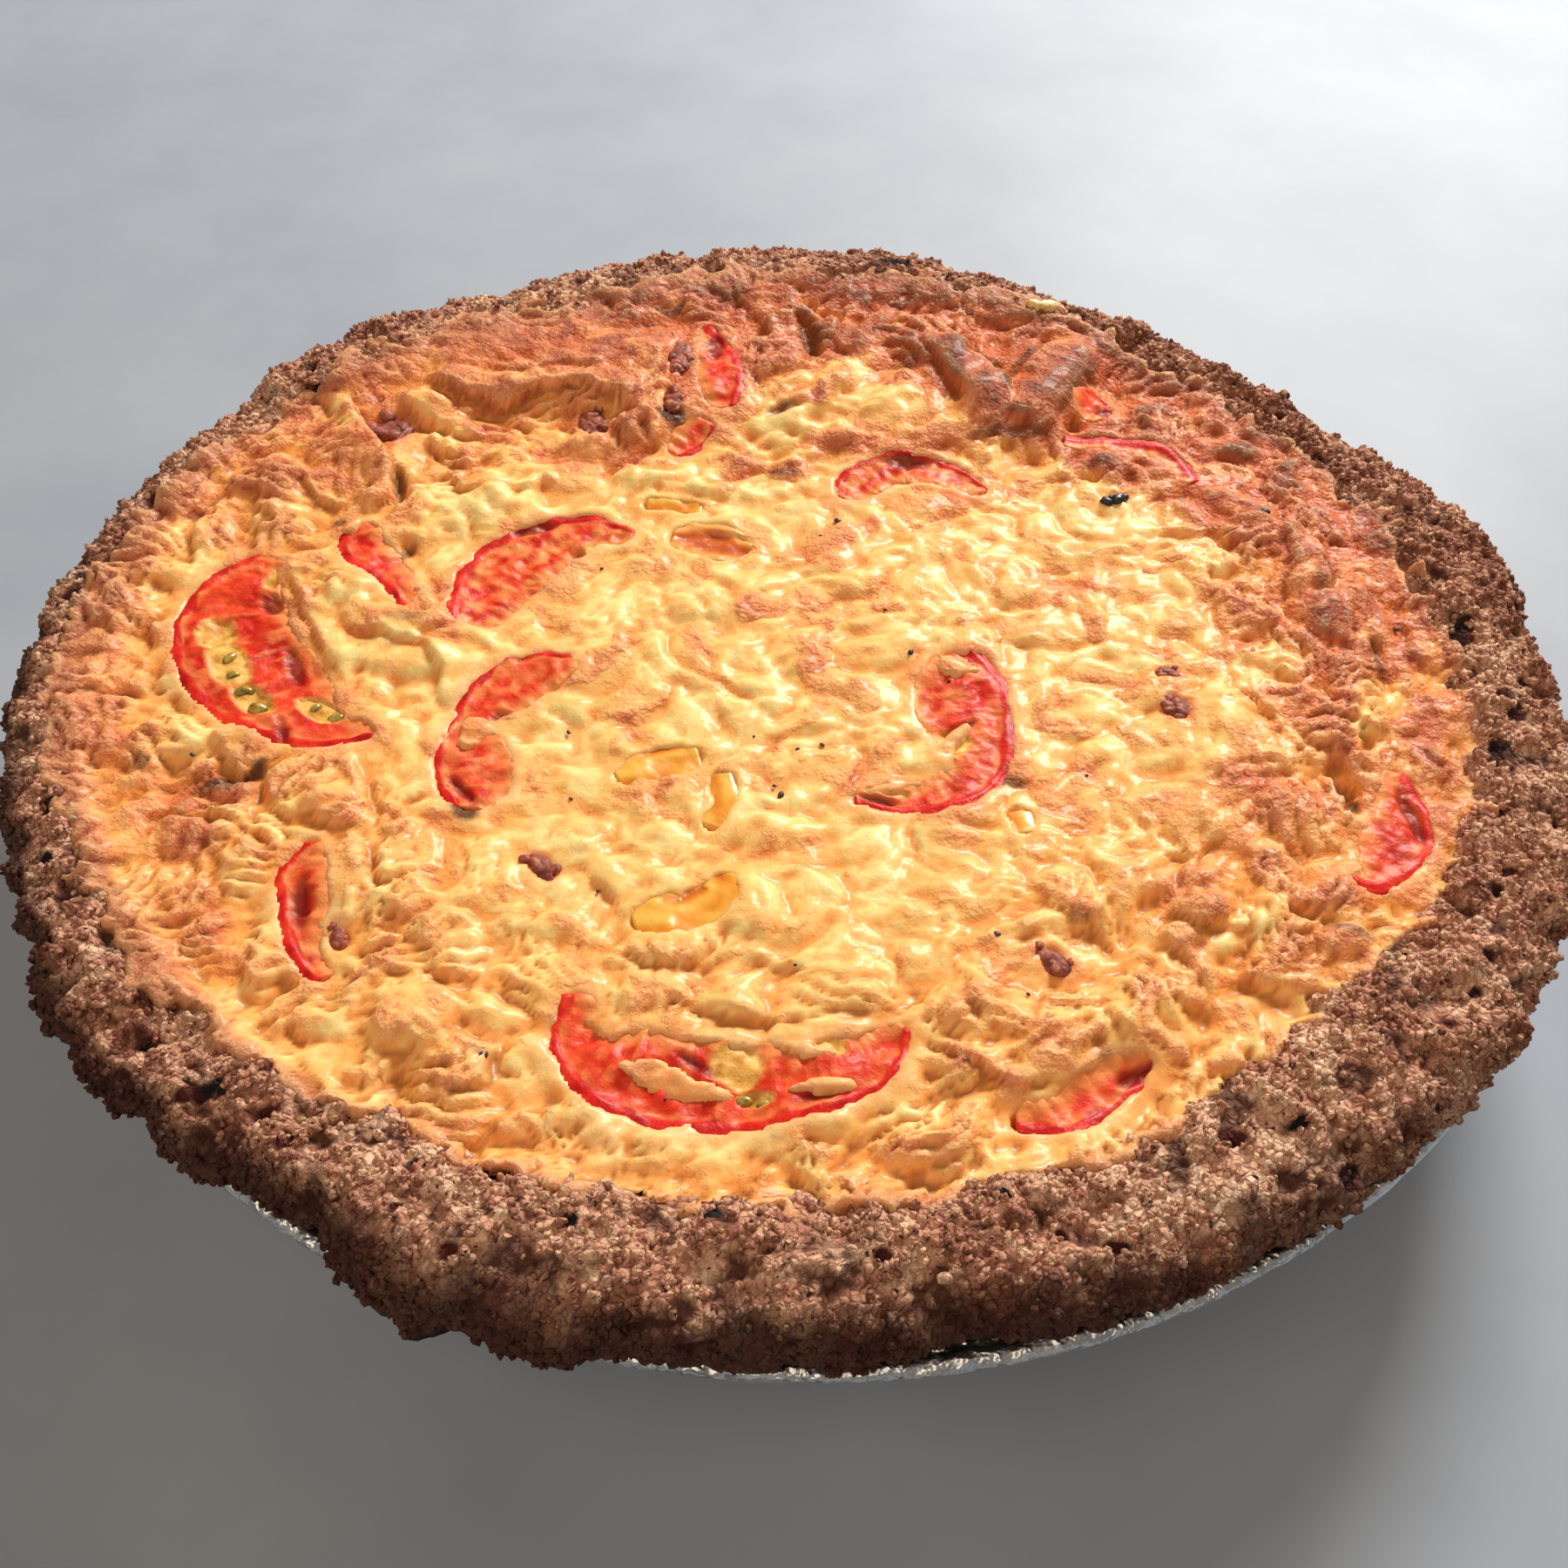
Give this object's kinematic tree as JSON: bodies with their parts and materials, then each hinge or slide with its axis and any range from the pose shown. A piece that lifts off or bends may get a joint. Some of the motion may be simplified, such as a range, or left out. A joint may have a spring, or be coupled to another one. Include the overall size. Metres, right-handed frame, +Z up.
{
  "type": "savoury quiche in a foil tin",
  "caption": "Round uncut scrapple quiche with browned custard, tomato slices and a thick crumbly crust, in its shallow foil tin.",
  "frame": {"origin": "centre of the tin's flat base, on the surface it stands on", "axes": "+Z up; +X to the right and +Y away from the viewer as the pie is pictured"},
  "size_m": [0.2463, 0.2442, 0.0433],
  "materials": {
    "foil": "thin crinkled foil, satin",
    "crust": "dry, crumbly, baked pastry",
    "custard": "baked egg custard, soft sheen, browned in places",
    "tomato": "moist, glossy",
    "pepper": "moist, glossy",
    "scrapple": "fried, rough"
  },
  "bodies": {
    "root": {"crust": "crust", "custard": "custard", "foil_tin": "foil", "pepper_lower": "pepper", "pepper_middle": "pepper", "pepper_middle_side": "pepper", "pepper_oval": "pepper", "pepper_right": "pepper", "pepper_thin": "pepper", "scrapple_back": "scrapple", "scrapple_back_left": "scrapple", "scrapple_back_low": "scrapple", "scrapple_front_left": "scrapple", "scrapple_front_right": "scrapple", "scrapple_left": "scrapple", "scrapple_left_low": "scrapple", "scrapple_right": "scrapple", "scrapple_right_small": "scrapple", "tomato_back": "tomato", "tomato_back_centre": "tomato", "tomato_back_foot": "tomato", "tomato_back_right": "tomato", "tomato_back_right_arc": "tomato", "tomato_centre_right": "tomato", "tomato_front": "tomato", "tomato_front_left": "tomato", "tomato_front_right": "tomato", "tomato_left": "tomato", "tomato_left_wedge": "tomato", "tomato_mid_left": "tomato", "tomato_right_rim": "tomato", "tomato_upper_left": "tomato"}
  },
  "joints": []
}
